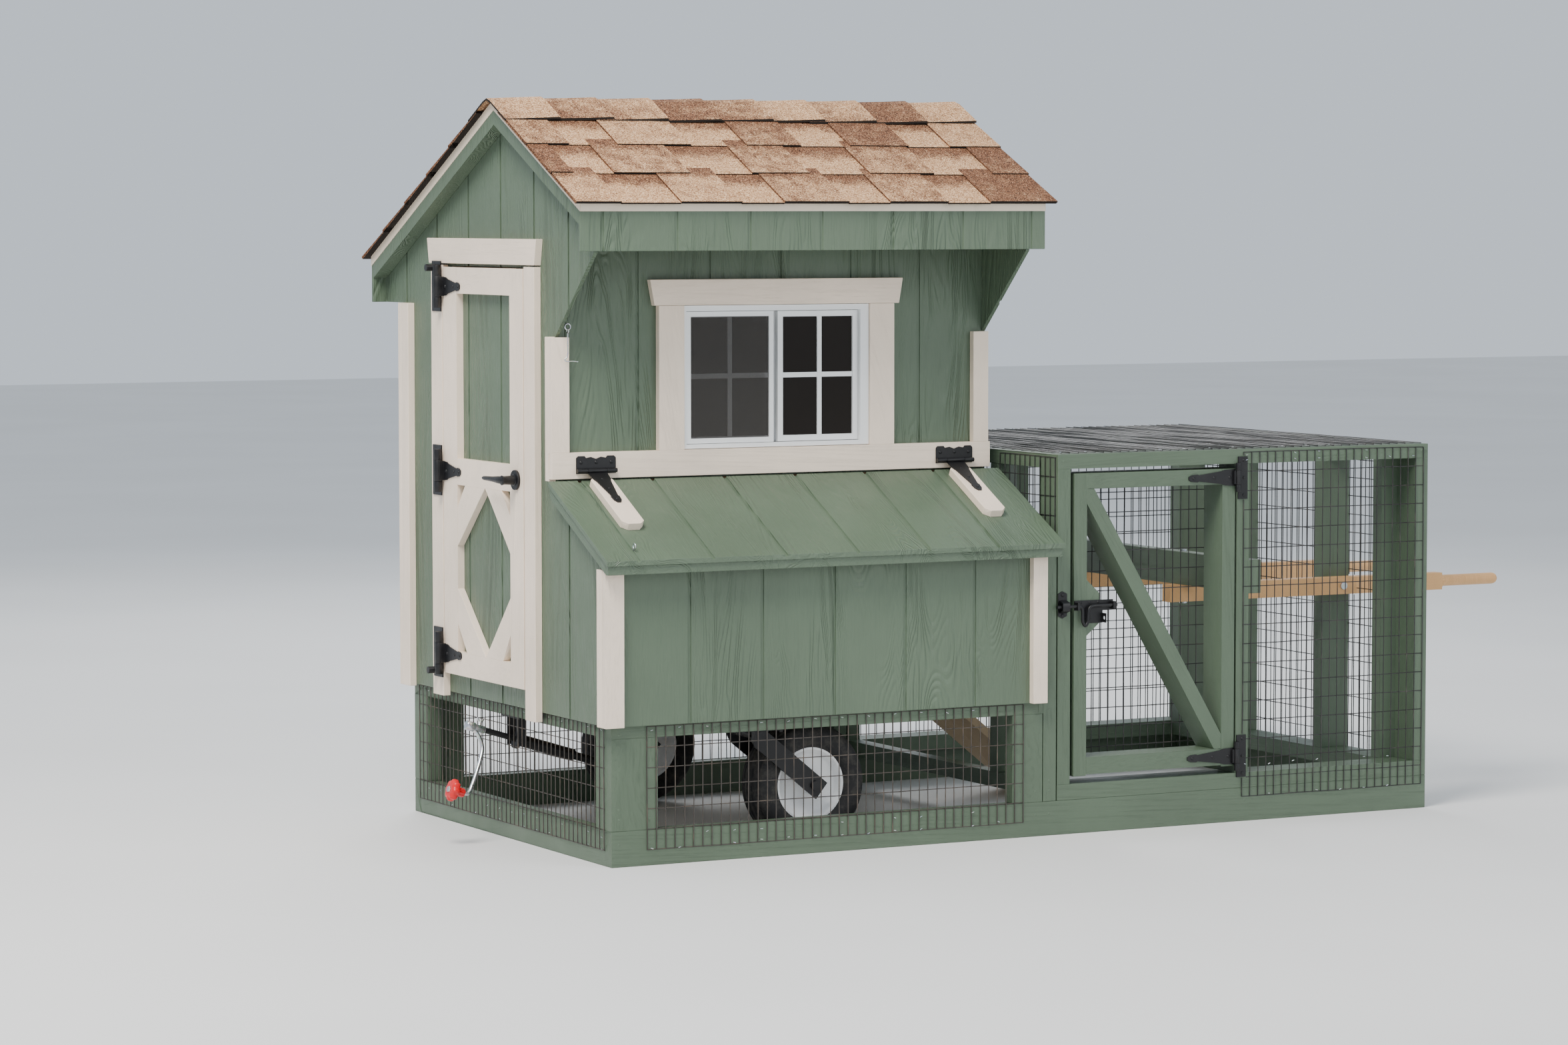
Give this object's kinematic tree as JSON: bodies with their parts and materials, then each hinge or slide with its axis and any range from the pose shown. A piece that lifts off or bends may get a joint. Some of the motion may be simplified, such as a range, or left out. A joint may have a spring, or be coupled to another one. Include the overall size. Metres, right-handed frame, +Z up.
{
  "type": "chicken coop",
  "caption": "Movable chicken coop: raised hen house with nest box and window, gabled roof, wire run with door, crank-lowered wheels and lift handles.",
  "frame": {"origin": "on the ground, under the centre of the whole object's box", "axes": "+X along the long front from the house to the run, +Y from the front to the back, +Z up"},
  "size_m": [3.1305, 1.4592, 1.9017],
  "materials": {
    "green_timber": "satin paint over sawn timber",
    "plywood": "bare plywood",
    "bare_timber": "bare sawn pine",
    "green_siding": "satin paint over embossed grain",
    "cream_trim": "satin paint",
    "deck_board": "bare strand board",
    "cream_metal": "satin paint",
    "shingle": "mineral granules",
    "white_vinyl": "satin vinyl",
    "fly_screen": "woven screen in a white frame",
    "clear_glass": "clear",
    "black_steel": "black powder coat",
    "black_wire": "black vinyl-coated welded wire",
    "natural_pine": "bare planed pine",
    "zinc": "zinc plated",
    "rim_paint": "pale satin",
    "tyre_rubber": "ribbed rubber",
    "red_knob": "moulded plastic"
  },
  "bodies": {
    "coop": {"base_skids": "green_timber", "base_frame": "green_timber", "house_floor": "plywood", "house_framing": "bare_timber", "rafters": "bare_timber", "left_siding": "green_siding", "right_siding": "green_siding", "front_siding": "green_siding", "rear_siding": "green_siding", "nest_front": "green_siding", "nest_dividers": "plywood", "corner_trim": "cream_trim", "window_casing": "cream_trim", "window_frame": "white_vinyl", "window_fixed_sash": "white_vinyl", "window_fixed_glass": "clear_glass", "window_screen": "fly_screen", "door_casing": "cream_trim", "roof_deck": "deck_board", "roof_fascia": "green_siding", "drip_edge": "cream_metal", "shingles": "shingle", "ridge_caps": "shingle", "hinge_leaves": "black_steel", "run_frame": "green_timber", "run_mesh_walls": "black_wire", "run_mesh_top": "black_wire", "lower_mesh": "black_wire", "lift_handles": "natural_pine", "handle_bolts": "zinc", "axle_brackets": "black_steel", "roost_bars": "bare_timber", "pop_door_guides": "plywood", "ramp": "plywood", "catch_keepers": "black_steel"},
    "house_door": {"door_panel": "green_siding", "door_boards": "cream_trim", "door_hinge_straps": "black_steel", "door_rose": "black_steel"},
    "door_handle": {"door_handle": "black_steel"},
    "window_sash": {"window_sash": "white_vinyl", "window_sash_glass": "clear_glass"},
    "nest_lid": {"nest_lid": "green_siding", "lid_battens": "cream_trim", "lid_hinge_straps": "black_steel"},
    "lid_hook": {"lid_hook": "black_steel"},
    "run_door": {"run_door_frame": "green_timber", "run_door_mesh": "black_wire", "run_door_hardware": "black_steel"},
    "latch": {"latch_bolt": "black_steel"},
    "axle": {"axle_arms": "black_steel"},
    "wheel_front": {"rim_front": "rim_paint", "tyre_front": "tyre_rubber"},
    "wheel_rear": {"rim_rear": "rim_paint", "tyre_rear": "tyre_rubber"},
    "jack": {"jack_tube": "black_steel"},
    "crank": {"crank_rod": "zinc", "crank_knob": "red_knob"},
    "jack_rod": {"jack_rod": "black_steel"},
    "pop_door": {"pop_door": "plywood"}
  },
  "joints": [
    {"name": "house_door_swing", "type": "hinge", "parent": "coop", "child": "house_door", "pos_m": [-1.40525, 0.28765, 0.93218], "axis": [0, 0, -1], "range_deg": [0, 165]},
    {"name": "door_handle_turn", "type": "hinge", "parent": "house_door", "child": "door_handle", "pos_m": [-1.39129, -0.17463, 0.93091], "axis": [1, 0, 0], "range_deg": [0, 90]},
    {"name": "window_slide", "type": "slide", "parent": "coop", "child": "window_sash", "axis": [1, 0, 0], "range_m": [0, 0.224]},
    {"name": "nest_lid_lift", "type": "hinge", "parent": "coop", "child": "nest_lid", "pos_m": [-0.75121, -0.39815, 0.96266], "axis": [-1, 0, 0], "range_deg": [0, 112]},
    {"name": "lid_hook_swing", "type": "hinge", "parent": "coop", "child": "lid_hook", "pos_m": [-1.34937, -0.39815, 1.31572], "axis": [-1, 0, 0], "range_deg": [0, 30]},
    {"name": "run_door_swing", "type": "hinge", "parent": "coop", "child": "run_door", "pos_m": [0.46241, -0.675, 0.54356], "axis": [0, 0, 1], "range_deg": [0, 170]},
    {"name": "latch_slide", "type": "slide", "parent": "run_door", "child": "latch", "axis": [1, 0, 0], "range_m": [0, 0.038]},
    {"name": "crank_spin", "type": "hinge", "parent": "jack", "child": "crank", "pos_m": [-1.33794, -0.05525, 0.25527], "axis": [0.954, 0, -0.2997], "range_deg": [0, 3600]},
    {"name": "axle_swing", "type": "hinge", "parent": "coop", "child": "axle", "pos_m": [-0.93154, -0.05525, 0.30099], "axis": [0, 1, 0], "range_deg": [0, 25]},
    {"name": "jack_pitch", "type": "hinge", "parent": "coop", "child": "jack", "pos_m": [-1.33794, -0.05525, 0.25527], "axis": [0, -1, 0], "range_deg": [0, 10]},
    {"name": "jack_rod_slide", "type": "slide", "parent": "jack", "child": "jack_rod", "axis": [-0.954, 0, 0.2997], "range_m": [0, 0.06068]},
    {"name": "wheel_front_roll", "type": "hinge", "parent": "axle", "child": "wheel_front", "pos_m": [-0.76136, -0.53531, 0.16256], "axis": [0, 1, 0], "continuous": true},
    {"name": "wheel_rear_roll", "type": "hinge", "parent": "axle", "child": "wheel_rear", "pos_m": [-0.76136, 0.41465, 0.16256], "axis": [0, 1, 0], "continuous": true},
    {"name": "pop_door_slide", "type": "slide", "parent": "coop", "child": "pop_door", "axis": [0, 0, 1], "range_m": [-0.32, 0]}
  ],
  "couplings": [
    {"joint": "axle_swing", "follows": "crank_spin", "ratio": 0.0069444},
    {"joint": "jack_pitch", "follows": "crank_spin", "ratio": 0.0027778},
    {"joint": "jack_rod_slide", "follows": "crank_spin", "m_per_rad": 0.00096574}
  ]
}
